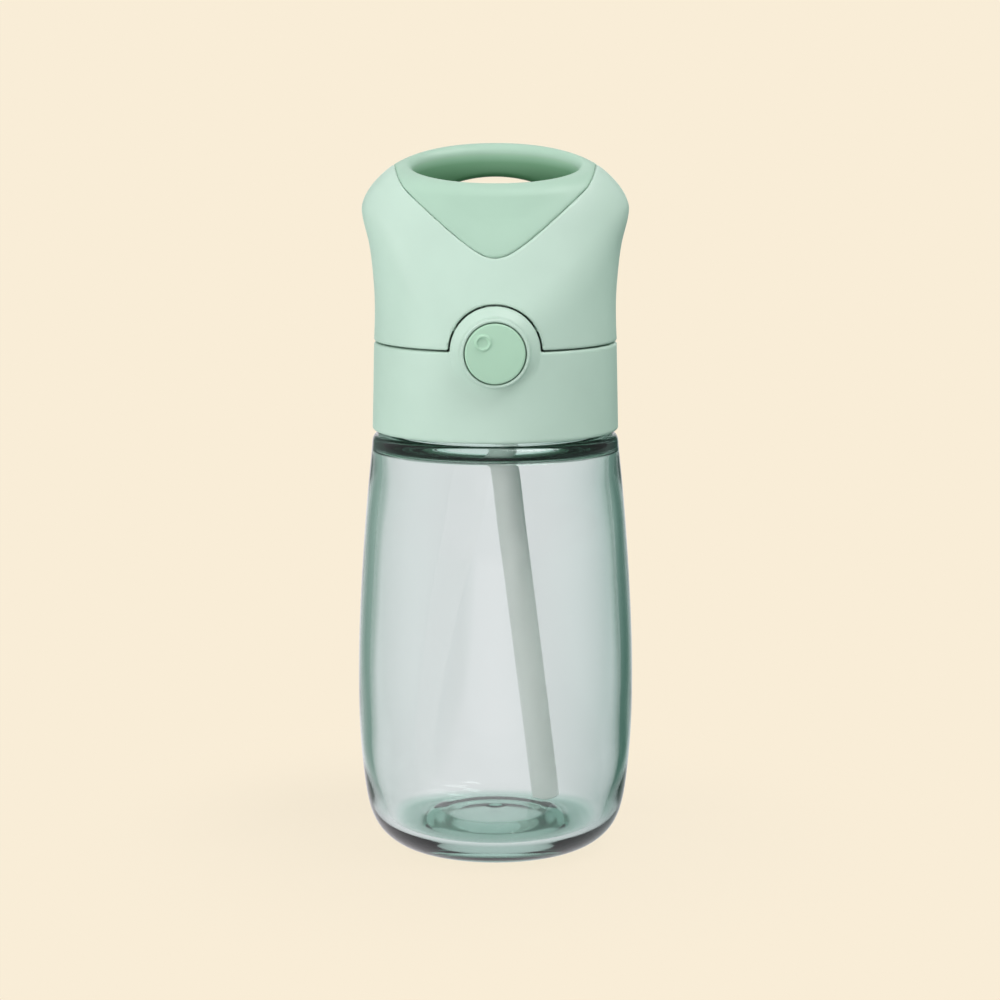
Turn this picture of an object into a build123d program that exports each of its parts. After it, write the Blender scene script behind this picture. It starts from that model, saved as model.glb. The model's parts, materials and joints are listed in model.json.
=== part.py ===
"""Kids flip-top straw bottle: clear vessel, screw lid, push-button flip cap with a carry loop.

Units are millimetres. +Z is up, the origin is the centre of the foot ring's plane,
and the push button faces -Y.
"""
import os
from math import cos, sin, radians, pi

from build123d import *

os.makedirs("parts", exist_ok=True)

# ---------------------------------------------------------------- driving dimensions
# vessel
FOOT_R_IN, FOOT_R_OUT = 17.0, 21.5      # flat ring the bottle stands on
WALL_TOP_Z = 107.4                      # where the outer wall turns into the shoulder
SHOULDER_Z = 110.6                      # top of the solid shoulder under the lid
NECK_R_OUT, NECK_R_IN = 26.6, 24.2
LIP_Z = 125.6                           # top of the neck
# screw thread, two starts
THREAD_LEAD = 9.0                       # rise per turn
THREAD_SPAN = 165.0                     # degrees covered by each ridge
THREAD_CREST_OUT = 27.95                # ridge crest on the neck
CORE_BORE_R = 28.35                     # threaded sleeve's bore
THREAD_CREST_IN = 27.0                  # ridge crest inside the lid
# lid
LID_Z0, PART_Z = 111.2, 134.6           # lid's lower edge, parting line with the cap
LID_R0, LID_R1 = 32.35, 31.75
CORE_R = 29.9
DECK_Z0, DECK_Z1 = 127.7, 130.2
CAP_GAP = 0.3
# button
BTN_Z = 134.6
BTN_R, BTN_HOLE_R, BOSS_R = 7.6, 7.85, 9.05
TONGUE_R = 11.55
TONGUE_Y = -28.4                        # inner face of the upstand
BOSS_Y = -35.0
# hinge
HINGE_Y, HINGE_Z = 33.4, 136.2
PIN_R, KNUCKLE_R = 1.0, 2.9
# mouthpiece
PORT_Y = 2.0
# finger hole ramp, from the front lip down to the rear window
RAMP_Y0, RAMP_Z0, RAMP_SLOPE = -14.8, 175.6, -18.7
RING_SLOPE = 18.2                       # tilt of the carry loop's rim plane
RING_Z = 181.5                          # rim plane's height above the axis


def outline(a, b, n):
    """Closed super-elliptic section, half-width a, half-depth b."""
    pts = []
    for i in range(28):
        t = 2 * pi * i / 28
        c, s = cos(t), sin(t)
        pts.append((a * abs(c) ** (2 / n) * (1 if c >= 0 else -1),
                    b * abs(s) ** (2 / n) * (1 if s >= 0 else -1)))
    return pts


# z, half-width, half-depth, exponent
SECTIONS = [
    (128.0, 31.95, 31.95, 2.0),
    (131.5, 31.85, 31.85, 2.0),
    (135.0, 31.76, 31.75, 2.0),
    (138.5, 31.6, 31.6, 2.0),
    (142.5, 31.5, 31.2, 2.0),
    (147.0, 31.55, 30.2, 2.03),
    (152.5, 31.9, 28.3, 2.1),
    (158.0, 32.5, 26.1, 2.18),
    (163.0, 33.4, 23.9, 2.25),
    (167.5, 34.6, 22.0, 2.3),
    (171.5, 34.2, 20.4, 2.32),
    (175.5, 31.9, 18.8, 2.3),
    (179.5, 27.9, 17.2, 2.25),
    (183.0, 23.3, 15.9, 2.2),
    (187.0, 18.2, 14.2, 2.15),
]


def cap_body(inset=0.0, top=None, bottom=PART_Z + CAP_GAP):
    """The cap's outer form as one solid, optionally inset all round."""
    with BuildPart() as body:
        for z, a, b, n in SECTIONS:
            if top is not None and z > top:
                break
            with BuildSketch(Plane.XY.offset(z)):
                with BuildLine():
                    Spline(*outline(a - inset, b - inset, n), periodic=True)
                make_face()
        loft()
        with BuildSketch(Plane.XY.offset(bottom)):
            Rectangle(120, 120)
        extrude(amount=-20, mode=Mode.SUBTRACT)
    return body.part


def ridge(r_root, r_crest, z0, start, w_root, w_crest):
    """One helical thread ridge, embedded slightly in its wall."""
    grow = 0.25 if r_crest > r_root else -0.25
    with BuildPart() as one:
        with BuildLine() as path:
            Helix(pitch=THREAD_LEAD, height=THREAD_LEAD * THREAD_SPAN / 360,
                  radius=r_root, center=(0, 0, z0))
        with BuildSketch(Plane.XZ):
            with BuildLine():
                Polyline((r_root - grow, z0 - w_root / 2), (r_crest, z0 - w_crest / 2),
                         (r_crest, z0 + w_crest / 2), (r_root - grow, z0 + w_root / 2),
                         close=True)
            make_face()
        sweep(path=path.line, is_frenet=True)
    return one.part.rotate(Axis.Z, start)


# ---------------------------------------------------------------- bottle
with BuildPart() as bottle:
    with BuildSketch(Plane.XZ):
        with BuildLine():
            # underside: shallow punt, then the foot ring
            Spline((0, 3.3), (9, 3.0), (14.2, 1.6), (FOOT_R_IN, 0),
                   tangents=((1, 0), (0.95, -0.32)))
            Line((FOOT_R_IN, 0), (FOOT_R_OUT, 0))
            # outer wall
            Spline((FOOT_R_OUT, 0), (26.2, 0.9), (29.4, 2.9), (32.05, 6.0), (33.85, 10.5),
                   tangents=((1, 0.02), (0.26, 1)))
            Spline((33.85, 10.5), (35.2, 18.5), (36.2, 30), (36.5, 43),
                   tangents=((0.26, 1), (0, 1)))
            Spline((36.5, 43), (36.3, 56), (35.55, 71), (34.5, 86), (33.22, 100),
                   (32.45, WALL_TOP_Z), tangents=((0, 1), (-0.1, 1)))
            ThreePointArc((32.45, WALL_TOP_Z), (31.8, 109.7), (30.3, SHOULDER_Z))
            Line((30.3, SHOULDER_Z), (NECK_R_OUT, SHOULDER_Z))
            Line((NECK_R_OUT, SHOULDER_Z), (NECK_R_OUT, LIP_Z - 0.6))
            Line((NECK_R_OUT, LIP_Z - 0.6), (NECK_R_OUT - 0.6, LIP_Z))
            Line((NECK_R_OUT - 0.6, LIP_Z), (NECK_R_IN + 0.5, LIP_Z))
            Line((NECK_R_IN + 0.5, LIP_Z), (NECK_R_IN, LIP_Z - 0.5))
            # inside
            Line((NECK_R_IN, LIP_Z - 0.5), (NECK_R_IN, 107.4))
            ThreePointArc((NECK_R_IN, 107.4), (24.64, 106.34), (25.7, 105.9))
            Line((25.7, 105.9), (29.3, 105.9))
            ThreePointArc((29.3, 105.9), (30.36, 105.46), (30.8, 104.4))
            Spline((30.8, 104.4), (31.3, 98), (32.6, 85), (33.65, 70.5), (34.4, 56),
                   (34.6, 43), tangents=((0.08, -1), (0, -1)))
            Spline((34.6, 43), (34.3, 30.5), (33.3, 19.5), (31.6, 12.2),
                   tangents=((0, -1), (-0.36, -1)))
            Spline((31.6, 12.2), (29.2, 8.0), (26.2, 5.7), (23.0, 4.75),
                   tangents=((-0.36, -1), (-1, -0.05)))
            Spline((23.0, 4.75), (20.0, 5.1), (16.6, 7.2), (13.4, 8.1),
                   tangents=((-1, -0.05), (-1, 0)))
            Line((13.4, 8.1), (3.2, 8.1))
            Spline((3.2, 8.1), (1.6, 7.75), (0, 7.5), tangents=((-1, 0), (-1, 0)))
            Line((0, 7.5), (0, 3.3))
        make_face()
    revolve(axis=Axis.Z)
    for start in (20, 200):
        add(ridge(NECK_R_OUT, THREAD_CREST_OUT, 116.2, start, 1.9, 1.0))
bottle.part.label = "bottle"
export_step(bottle.part, "parts/bottle.step")

# ---------------------------------------------------------------- lid gasket
with BuildPart() as lid_gasket:
    with BuildSketch(Plane.XZ):
        with BuildLine():
            Polyline((24.35, LIP_Z), (27.3, LIP_Z), (27.6, LIP_Z + 0.4),
                     (27.6, DECK_Z0 - 0.05), (24.1, DECK_Z0 - 0.05), (24.1, LIP_Z + 0.4),
                     close=True)
        make_face()
    revolve(axis=Axis.Z)
lid_gasket.part.label = "lid_gasket"
export_step(lid_gasket.part, "parts/lid_gasket.step")

# ---------------------------------------------------------------- lid core
with BuildPart() as lid_core:
    with BuildSketch(Plane.XZ):
        with BuildLine():
            Polyline((0, DECK_Z0), (22.3, DECK_Z0), (22.3, 123.4), (23.2, 123.0),
                     (23.9, 123.6), (23.9, DECK_Z0), (CORE_BORE_R, DECK_Z0),
                     (CORE_BORE_R, 112.0), (CORE_BORE_R + 0.4, 111.6), (CORE_R, 111.6),
                     (CORE_R, DECK_Z1), (0, DECK_Z1), close=True)
        make_face()
    revolve(axis=Axis.Z)
    for start in (20, 200):
        add(ridge(CORE_BORE_R, THREAD_CREST_IN, 116.2 - THREAD_LEAD / 4, start, 1.9, 1.0))
    # port for the mouthpiece, with a short guide tube under the deck
    with BuildSketch(Plane.XY.offset(121.0)):
        with Locations((0, PORT_Y)):
            Circle(7.0)
    extrude(amount=DECK_Z1 - 121.0)
    with Locations((0, PORT_Y, DECK_Z1)):
        Hole(5.35, depth=20)
    # vent hole
    with Locations((-13.0, 10.0, DECK_Z1)):
        Hole(1.65, depth=5)
    # guide rails and spring wall for the latch slider
    with BuildSketch(Plane.XY.offset(DECK_Z1)):
        with Locations((7.35, -18.9), (-7.35, -18.9)):
            Rectangle(1.3, 12.2)
        with Locations((0, -11.9)):
            Rectangle(16.0, 1.4)
    extrude(amount=8.2)
    # raised spigot that holds the spring's end
    with BuildSketch(Plane.XZ.offset(12.6)):
        with Locations((0, BTN_Z)):
            Circle(1.25)
    extrude(amount=1.4)
lid_core.part.label = "lid_core"
export_step(lid_core.part, "parts/lid_core.step")

# ---------------------------------------------------------------- lid collar
cap_outer = cap_body()
with BuildPart() as lid_collar:
    with BuildSketch(Plane.XZ):
        with BuildLine():
            Polyline((30.05, LID_Z0), (LID_R0 - 0.8, LID_Z0), (LID_R0, LID_Z0 + 0.8),
                     (LID_R1, PART_Z - 0.25), (LID_R1 - 0.3, PART_Z), (28.3, PART_Z),
                     (28.3, 136.2), (27.1, 136.2), (27.1, DECK_Z1 + 0.1),
                     (30.05, DECK_Z1 + 0.1), close=True)
        make_face()
    revolve(axis=Axis.Z)
    # the rim is left out where the latch and the hinge need the room
    with BuildSketch(Plane.XY.offset(PART_Z)):
        Rectangle(27.0, 80.0)
    extrude(amount=5, mode=Mode.SUBTRACT)
    # half-round upstand, its front flush with the cap
    with BuildPart(mode=Mode.PRIVATE) as upstand:
        with BuildSketch(Plane.XZ.offset(-TONGUE_Y)):
            with Locations((0, BTN_Z)):
                Circle(TONGUE_R)
        extrude(amount=6)
        add(cap_outer.moved(Location((0, 0, -CAP_GAP - 0.02))), mode=Mode.INTERSECT)
    add(upstand.part)
    # boss round the button, flaring into the upstand
    with BuildSketch(Plane.XY.offset(BTN_Z)):
        with BuildLine():
            Line((0, TONGUE_Y), (0, BOSS_Y))
            Line((0, BOSS_Y), (BOSS_R - 0.5, BOSS_Y))
            ThreePointArc((BOSS_R - 0.5, BOSS_Y), (BOSS_R - 0.14, BOSS_Y + 0.14),
                          (BOSS_R, BOSS_Y + 0.5))
            Line((BOSS_R, BOSS_Y + 0.5), (BOSS_R + 0.1, -32.9))
            Spline((BOSS_R + 0.1, -32.9), (9.75, -31.6), (11.45, -30.2),
                   tangents=((0.06, 1), (1, 0.55)))
            Line((11.45, -30.2), (11.45, TONGUE_Y))
            Line((11.45, TONGUE_Y), (0, TONGUE_Y))
        make_face()
    revolve(axis=Axis((0, 0, BTN_Z), (0, 1, 0)))
    # the boss stops at the core's wall
    with BuildSketch(Plane.XY.offset(115)):
        Circle(CORE_R + 0.1)
    extrude(amount=DECK_Z1 + 0.1 - 115, mode=Mode.SUBTRACT)
    # bore for the button and pocket for the slider's plate
    with BuildSketch(Plane.XZ.offset(20)):
        with Locations((0, BTN_Z)):
            Circle(BTN_HOLE_R)
    extrude(amount=20, mode=Mode.SUBTRACT)
    with BuildSketch(Plane.XY.offset(DECK_Z1 + 0.05)):
        with Locations((0, (TONGUE_Y - 18) / 2)):
            Rectangle(21.4, -TONGUE_Y - 18)
    extrude(amount=20, mode=Mode.SUBTRACT)
    # hinge ears
    with BuildSketch(Plane.YZ.offset(-14.6)):
        with BuildLine():
            Polyline((30.4, 124.0), (31.7, 124.0), (HINGE_Y + 2.6, HINGE_Z - 1.3),
                     (HINGE_Y, HINGE_Z + 1.5), (30.4, 134.4), close=True)
        make_face()
        with Locations((HINGE_Y, HINGE_Z)):
            Circle(KNUCKLE_R)
    extrude(amount=29.2)
    # room between the ears for the cap's knuckles, the spring and its leg
    with BuildSketch(Plane.YZ.offset(-10.1)):
        with Locations((HINGE_Y, HINGE_Z)):
            Circle(KNUCKLE_R + 0.4)
        with BuildLine():
            Polyline((HINGE_Y - 3.3, HINGE_Z), (HINGE_Y + 6, HINGE_Z), (HINGE_Y + 6, 123.0),
                     (32.1, 123.0), (32.1, 131.6), (HINGE_Y - 2.2, 133.7), close=True)
        make_face()
    extrude(amount=20.2, mode=Mode.SUBTRACT)
    with BuildSketch(Plane.YZ.offset(-4.8)):
        with Locations((32.6, 131.5)):
            Rectangle(4.6, 9.0)
    extrude(amount=9.6, mode=Mode.SUBTRACT)
    # pin holes
    with BuildSketch(Plane.YZ.offset(-20)):
        with Locations((HINGE_Y, HINGE_Z)):
            Circle(PIN_R + 0.02)
    extrude(amount=40, mode=Mode.SUBTRACT)
lid_collar.part.label = "lid_collar"
export_step(lid_collar.part, "parts/lid_collar.step")

# ---------------------------------------------------------------- hinge pin
with BuildPart() as hinge_pin:
    with BuildSketch(Plane.YZ.offset(-14.4)):
        with Locations((HINGE_Y, HINGE_Z)):
            Circle(PIN_R)
    extrude(amount=28.8)
    chamfer(hinge_pin.edges().filter_by(GeomType.CIRCLE), 0.2)
hinge_pin.part.label = "hinge_pin"
export_step(hinge_pin.part, "parts/hinge_pin.step")

# ---------------------------------------------------------------- hinge spring
COIL_R, WIRE_R, COIL_N, COIL_P = 1.78, 0.4, 5, 0.95
with BuildPart() as hinge_spring:
    half = COIL_N * COIL_P / 2
    with BuildLine() as coil:
        Helix(pitch=COIL_P, height=COIL_N * COIL_P, radius=COIL_R,
              center=(-half, HINGE_Y, HINGE_Z), direction=(1, 0, 0))
    with BuildSketch(Plane(origin=coil.line @ 0, z_dir=coil.line % 0)):
        Circle(WIRE_R)
    sweep(path=coil.line, is_frenet=True)
    # legs run on from the coil's ends, one up to the cap and one down to the collar
    for end, way, length in ((0.0, 1, 6.8), (1.0, -1, 8.2)):
        with BuildSketch(Plane(origin=coil.line @ end, z_dir=(0, way, 0))):
            Circle(WIRE_R)
        extrude(amount=length)
hinge_spring.part = hinge_spring.part.rotate(Axis((0, HINGE_Y, HINGE_Z), (1, 0, 0)), 90)
hinge_spring.part.label = "hinge_spring"
export_step(hinge_spring.part, "parts/hinge_spring.step")

# ---------------------------------------------------------------- push button
with BuildPart() as push_button:
    with BuildSketch(Plane.XY.offset(BTN_Z)):
        with BuildLine():
            Line((0, -27.2), (0, BOSS_Y - 0.55))
            ThreePointArc((0, BOSS_Y - 0.55), (3.9, BOSS_Y - 0.42), (BTN_R - 0.5, BOSS_Y - 0.1))
            ThreePointArc((BTN_R - 0.5, BOSS_Y - 0.1), (BTN_R - 0.13, BOSS_Y + 0.12),
                          (BTN_R, BOSS_Y + 0.5))
            Line((BTN_R, BOSS_Y + 0.5), (BTN_R, -32.4))
            Line((BTN_R, -32.4), (BTN_R - 1.4, -32.4))
            Line((BTN_R - 1.4, -32.4), (BTN_R - 1.8, -33.2))
            Line((BTN_R - 1.8, -33.2), (2.4, -33.2))
            Line((2.4, -33.2), (2.4, -27.2))
            Line((2.4, -27.2), (0, -27.2))
        make_face()
    revolve(axis=Axis((0, 0, BTN_Z), (0, 1, 0)))
    # shallow finger dot on the face
    with Locations((-3.4, BOSS_Y - 0.45 - 1.75, BTN_Z + 3.4)):
        Sphere(2.0, mode=Mode.SUBTRACT)
push_button.part.label = "push_button"
export_step(push_button.part, "parts/push_button.step")

# ---------------------------------------------------------------- latch slider
with BuildPart() as latch_slider:
    # front plate behind the upstand, with a hole for the button's post
    with BuildSketch(Plane.XZ.offset(27.1)):
        with Locations((0, 134.8)):
            RectangleRounded(16.8, 7.8, 1.0)
        with Locations((0, BTN_Z)):
            Circle(2.45, mode=Mode.SUBTRACT)
    extrude(amount=1.2)
    # side arms
    with BuildSketch(Plane.XY.offset(131.0)):
        with Locations((5.35, -23.3), (-5.35, -23.3)):
            Rectangle(1.5, 8.6)
    extrude(amount=5.6)
    # catch bar over the hook's barb, and the spring's plate
    with BuildSketch(Plane.XY.offset(133.7)):
        with Locations((0, -21.2)):
            Rectangle(12.2, 4.4)
    extrude(amount=2.9)
    with BuildSketch(Plane.XY.offset(131.0)):
        with Locations((0, -19.6)):
            Rectangle(12.2, 1.2)
    extrude(amount=7.2)
latch_slider.part.label = "latch_slider"
export_step(latch_slider.part, "parts/latch_slider.step")

# ---------------------------------------------------------------- button spring
with BuildPart() as button_spring:
    L = 5.6
    with BuildLine() as coil2:
        Helix(pitch=L / 5, height=L, radius=2.1, center=(0, -18.7, BTN_Z), direction=(0, 1, 0))
    with BuildSketch(Plane(origin=coil2.line @ 0, z_dir=coil2.line % 0)):
        Circle(0.28)
    sweep(path=coil2.line, is_frenet=True)
button_spring.part.label = "button_spring"
export_step(button_spring.part, "parts/button_spring.step")

# ---------------------------------------------------------------- latch cover
with BuildPart() as latch_cover:
    with BuildSketch(Plane.XY.offset(DECK_Z1)):
        with Locations((0, -17.6)):
            RectangleRounded(20.0, 16.6, 1.6)
    extrude(amount=10.2)
    with BuildSketch(Plane.XY.offset(DECK_Z1)):
        with Locations((0, -18.6)):
            Rectangle(17.2, 17.2)
    extrude(amount=8.6, mode=Mode.SUBTRACT)
    # slot the cap's hook drops through
    with BuildSketch(Plane.XY.offset(DECK_Z1)):
        with Locations((0, -22.9)):
            Rectangle(9.2, 6.6)
    extrude(amount=12, mode=Mode.SUBTRACT)
    fillet(latch_cover.faces().sort_by(Axis.Z)[-1].outer_wire().edges(), 0.6)
latch_cover.part.label = "latch_cover"
export_step(latch_cover.part, "parts/latch_cover.step")

# ---------------------------------------------------------------- mouthpiece
with BuildPart() as mouthpiece:
    with BuildSketch(Plane(origin=(0, PORT_Y, 0), x_dir=(1, 0, 0), z_dir=(0, -1, 0))):
        with BuildLine():
            Polyline((3.95, 121.6), (5.15, 121.6), (5.25, 122.4), (5.25, DECK_Z1),
                     (8.6, DECK_Z1), (9.0, DECK_Z1 + 0.6), (8.6, DECK_Z1 + 1.6),
                     (2.7, DECK_Z1 + 1.6), (2.7, 127.4), (3.95, 127.4), close=True)
        make_face()
    revolve(axis=Axis((0, PORT_Y, 0), (0, 0, 1)))
    # soft spout, leaning a little to the drinker
    with BuildSketch(Plane.XY.offset(DECK_Z1 + 1.0)):
        with Locations((0, PORT_Y)):
            Circle(6.8)
    with BuildSketch(Plane.XY.offset(136.0)):
        with Locations((0, PORT_Y - 0.5)):
            Circle(5.6)
    with BuildSketch(Plane.XY.offset(143.0)):
        with Locations((0, PORT_Y - 1.6)):
            Circle(4.7)
    with BuildSketch(Plane.XY.offset(150.6)):
        with Locations((0, PORT_Y - 3.2)):
            Ellipse(5.4, 4.2)
    loft()
    with BuildSketch(Plane.XY.offset(DECK_Z1 + 0.8)):
        with Locations((0, PORT_Y)):
            Circle(2.7)
    with BuildSketch(Plane.XY.offset(150.6)):
        with Locations((0, PORT_Y - 3.2)):
            Circle(2.3)
    loft(mode=Mode.SUBTRACT)
mouthpiece.part.label = "mouthpiece"
export_step(mouthpiece.part, "parts/mouthpiece.step")

# ---------------------------------------------------------------- straw
with BuildPart() as straw:
    with BuildLine() as run:
        FilletPolyline((0, PORT_Y, 127.2), (0, PORT_Y, 119.5), (14.2, 17.0, 6.6), radius=40)
    with BuildSketch(Plane(origin=run.line @ 0, z_dir=run.line % 0)):
        Circle(3.8)
        Circle(2.7, mode=Mode.SUBTRACT)
    sweep(path=run.line)
straw.part.label = "straw"
export_step(straw.part, "parts/straw.step")

# ---------------------------------------------------------------- vent valve
with BuildPart() as vent_valve:
    with BuildSketch(Plane(origin=(-13.0, 10.0, 0), x_dir=(1, 0, 0), z_dir=(0, -1, 0))):
        with BuildLine():
            Polyline((0, 124.4), (2.6, 124.4), (2.8, 126.0), (1.6, 127.6), (1.6, DECK_Z1),
                     (3.2, DECK_Z1), (3.0, DECK_Z1 + 0.7), (0, DECK_Z1 + 0.9), close=True)
        make_face()
    revolve(axis=Axis((-13.0, 10.0, 0), (0, 0, 1)))
    with Locations((-13.0, 10.0, DECK_Z1 + 1)):
        Hole(0.6, depth=4.5)
    # the two lips of the duckbill
    with BuildSketch(Plane.XY.offset(121.2)):
        with Locations((-13.0, 10.0)):
            Ellipse(2.5, 0.5)
    with BuildSketch(Plane.XY.offset(124.6)):
        with Locations((-13.0, 10.0)):
            Ellipse(2.45, 2.4)
    loft()
vent_valve.part.label = "vent_valve"
export_step(vent_valve.part, "parts/vent_valve.step")

# ---------------------------------------------------------------- finger hole and loop regions


def above_plane(y0, z0, slope):
    """Everything above a plane that tilts along Y."""
    with BuildPart() as block:
        with BuildSketch(Plane(origin=(0, y0, z0), x_dir=(1, 0, 0),
                               z_dir=(0, -sin(radians(slope)), cos(radians(slope))))):
            Rectangle(200, 200)
        extrude(amount=100)
    return block.part


def finger_hole(grow=0.0):
    with BuildPart() as hole:
        with BuildSketch(Plane.XY.offset(140)):
            with Locations((0, -2.2)):
                Ellipse(21.6 + grow, 12.6 + grow)
        extrude(amount=60)
        with BuildSketch(Plane.XZ.offset(4)):
            with Locations((0, 141.9)):
                Circle(35.0 + grow)
                Rectangle(41.0 + 2 * grow, 80.0, mode=Mode.INTERSECT)
            fillet(vertices(), 3.0)
        extrude(amount=-44)
        add(above_plane(RAMP_Y0, RAMP_Z0 - grow * 1.05, RAMP_SLOPE), mode=Mode.INTERSECT)
    return hole.part


def loop_region(grow=0.0):
    """Front view of the loop: a rounded V in front, a straight band behind."""
    with BuildPart() as region:
        with BuildSketch(Plane.XZ):
            with BuildLine():
                FilletPolyline((-26.3 - grow, 200), (-26.3 - grow, 177.2 - grow),
                               (0, 152.6 - grow * 1.4), (26.3 + grow, 177.2 - grow),
                               (26.3 + grow, 200), radius=[4.0, 14.0, 4.0])
                Line((26.3 + grow, 200), (-26.3 - grow, 200))
            make_face()
        extrude(amount=50)
        with BuildSketch(Plane.XZ):
            with Locations((0, 181.0 - grow)):
                RectangleRounded(52.6 + 2 * grow, 40.0, 6.0)
        extrude(amount=-50)
    return region.part


hole = finger_hole()
hole_wall = finger_hole(2.2)
hole_split = finger_hole(2.32)
under_rim = above_plane(0, RING_Z, RING_SLOPE)
cavity = cap_body(inset=2.2, top=176.0, bottom=129.0) - hole_wall

# ---------------------------------------------------------------- handle loop
loop = (cap_outer & (loop_region() + hole_wall)) - hole - cavity - under_rim
handle_loop = Part() + loop
handle_loop.label = "handle_loop"
export_step(handle_loop, "parts/handle_loop.step")

# ---------------------------------------------------------------- cap shell
with BuildPart() as cap_shell:
    add(cap_outer)
    add(cavity, mode=Mode.SUBTRACT)
    add(hole, mode=Mode.SUBTRACT)
    add(under_rim, mode=Mode.SUBTRACT)
    add(loop_region(0.12), mode=Mode.SUBTRACT)
    add(hole_split, mode=Mode.SUBTRACT)
    # notch over the button's upstand
    with BuildSketch(Plane.XZ.offset(15)):
        with Locations((0, BTN_Z)):
            Circle(TONGUE_R + CAP_GAP)
    extrude(amount=30, mode=Mode.SUBTRACT)
    # clearance round the collar's hinge ears
    with BuildSketch(Plane.YZ.offset(9.7)):
        with Locations((HINGE_Y, HINGE_Z)):
            Circle(KNUCKLE_R + 0.5)
        with Locations((31.0, 134.0)):
            Rectangle(8.0, 5.2)
    extrude(amount=5.3, mode=Mode.SUBTRACT)
    with BuildSketch(Plane.YZ.offset(-9.7)):
        with Locations((HINGE_Y, HINGE_Z)):
            Circle(KNUCKLE_R + 0.5)
        with Locations((31.0, 134.0)):
            Rectangle(8.0, 5.2)
    extrude(amount=-5.3, mode=Mode.SUBTRACT)
    # knuckles
    with BuildSketch(Plane.YZ.offset(-9.75)):
        with Locations((HINGE_Y, HINGE_Z)):
            Circle(KNUCKLE_R)
        with BuildLine():
            Polyline((29.7, 136.0), (HINGE_Y, HINGE_Z - KNUCKLE_R + 0.3),
                     (HINGE_Y + 2.7, HINGE_Z + 1.0), (30.4, 147.0), (29.0, 147.0), close=True)
        make_face()
    extrude(amount=19.5)
    # spring pocket between the knuckles
    with BuildSketch(Plane.YZ.offset(-4.8)):
        with BuildLine():
            Polyline((30.7, 130.0), (40.0, 130.0), (40.0, 147.5), (30.7, 144.6), close=True)
        make_face()
    extrude(amount=9.6, mode=Mode.SUBTRACT)
    # running bore on the pin
    with BuildSketch(Plane.YZ.offset(-20)):
        with Locations((HINGE_Y, HINGE_Z)):
            Circle(PIN_R + 0.06)
    extrude(amount=40, mode=Mode.SUBTRACT)
cap_shell.part.label = "cap_shell"
export_step(cap_shell.part, "parts/cap_shell.step")

# ---------------------------------------------------------------- cap liner with the hook
with BuildPart() as cap_liner:
    add(cap_body(inset=2.45, top=164.0, bottom=138.0))
    with BuildSketch(Plane.XY.offset(156.0)):
        Rectangle(90, 90)
    extrude(amount=10, mode=Mode.SUBTRACT)
    with BuildPart(mode=Mode.PRIVATE) as liner_room:
        add(cap_body(inset=3.75, top=164.0, bottom=129.0))
        with BuildSketch(Plane.XY.offset(154.0)):
            Rectangle(90, 90)
        extrude(amount=20, mode=Mode.SUBTRACT)
    add(liner_room.part, mode=Mode.SUBTRACT)
    # clear of the upstand and of the hinge
    with BuildSketch(Plane.XY.offset(130.0)):
        with Locations((0, -30)):
            Rectangle(27.0, 20)
    extrude(amount=18.0, mode=Mode.SUBTRACT)
    with BuildSketch(Plane.XY.offset(130.0)):
        with Locations((0, 30)):
            Rectangle(32.0, 14)
    extrude(amount=18.5, mode=Mode.SUBTRACT)
    # hook: a tongue with a barb at its foot
    with BuildSketch(Plane.YZ.offset(-3.8)):
        with BuildLine():
            Polyline((-25.0, 131.9), (-24.6, 131.2), (-23.4, 131.2), (-21.85, 132.4),
                     (-21.85, 133.4), (-23.65, 133.4), (-23.65, 155.0), (-24.2, 155.0),
                     (-25.0, 151.0), close=True)
        make_face()
    extrude(amount=7.6)
    # ring that holds the spout seal
    with BuildSketch(Plane.XY.offset(152.2)):
        with Locations((0, PORT_Y - 3.2)):
            Circle(9.0)
            Circle(7.7, mode=Mode.SUBTRACT)
    extrude(amount=2.0)
cap_liner.part.label = "cap_liner"
export_step(cap_liner.part, "parts/cap_liner.step")

# ---------------------------------------------------------------- spout seal
with BuildPart() as spout_seal:
    with BuildSketch(Plane.XY.offset(150.9)):
        with Locations((0, PORT_Y - 3.2)):
            Circle(7.5)
    extrude(amount=3.1)
    chamfer(spout_seal.edges().sort_by(Axis.Z)[0], 0.5)
spout_seal.part.label = "spout_seal"
export_step(spout_seal.part, "parts/spout_seal.step")
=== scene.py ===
import bpy, bmesh, json, math
import numpy as np
from mathutils import Vector, Matrix


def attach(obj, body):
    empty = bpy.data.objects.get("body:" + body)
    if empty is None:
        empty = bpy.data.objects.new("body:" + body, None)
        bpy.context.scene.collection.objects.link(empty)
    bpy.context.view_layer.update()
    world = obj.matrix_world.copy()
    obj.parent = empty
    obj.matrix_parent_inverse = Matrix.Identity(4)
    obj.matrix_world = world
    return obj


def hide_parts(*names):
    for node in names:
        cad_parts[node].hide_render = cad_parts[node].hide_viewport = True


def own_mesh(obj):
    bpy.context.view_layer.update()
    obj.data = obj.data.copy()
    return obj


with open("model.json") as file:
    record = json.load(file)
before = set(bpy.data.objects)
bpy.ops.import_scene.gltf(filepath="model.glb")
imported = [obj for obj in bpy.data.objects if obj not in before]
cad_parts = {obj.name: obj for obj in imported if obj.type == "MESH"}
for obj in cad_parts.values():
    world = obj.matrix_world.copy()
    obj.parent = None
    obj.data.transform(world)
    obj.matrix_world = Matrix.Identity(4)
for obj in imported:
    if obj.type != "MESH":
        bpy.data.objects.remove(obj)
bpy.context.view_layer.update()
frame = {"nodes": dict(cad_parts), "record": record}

NODES = frame["nodes"]


# ------------------------------------------------------------------ node helpers
def socket(node, *names):
    for n in names:
        if n in node.inputs:
            return node.inputs[n]
    return None


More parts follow.
